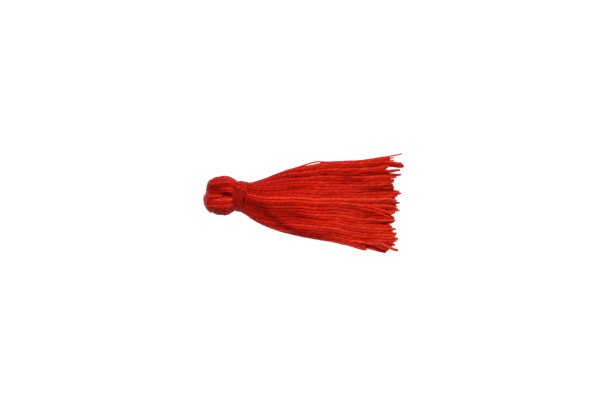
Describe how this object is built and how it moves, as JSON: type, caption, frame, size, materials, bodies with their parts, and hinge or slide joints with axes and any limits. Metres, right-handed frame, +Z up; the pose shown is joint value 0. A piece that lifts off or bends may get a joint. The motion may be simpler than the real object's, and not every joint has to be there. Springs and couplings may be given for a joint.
{
  "type": "silk tassel",
  "caption": "Small silk tassel lying on its side: a folded thread head bound at the neck, and a fanned skirt of cut threads.",
  "frame": {"origin": "bottom centre of the tassel's box, on the surface that it lies on", "axes": "+X along the tassel from its head to its cut ends, +Z up from the surface"},
  "size_m": [0.0404, 0.0196, 0.0073],
  "materials": {
    "silk_red": "satin",
    "silk_dark_red": "satin"
  },
  "bodies": {
    "root": {"hank": "silk_red", "neck_binding": "silk_dark_red"}
  },
  "joints": []
}
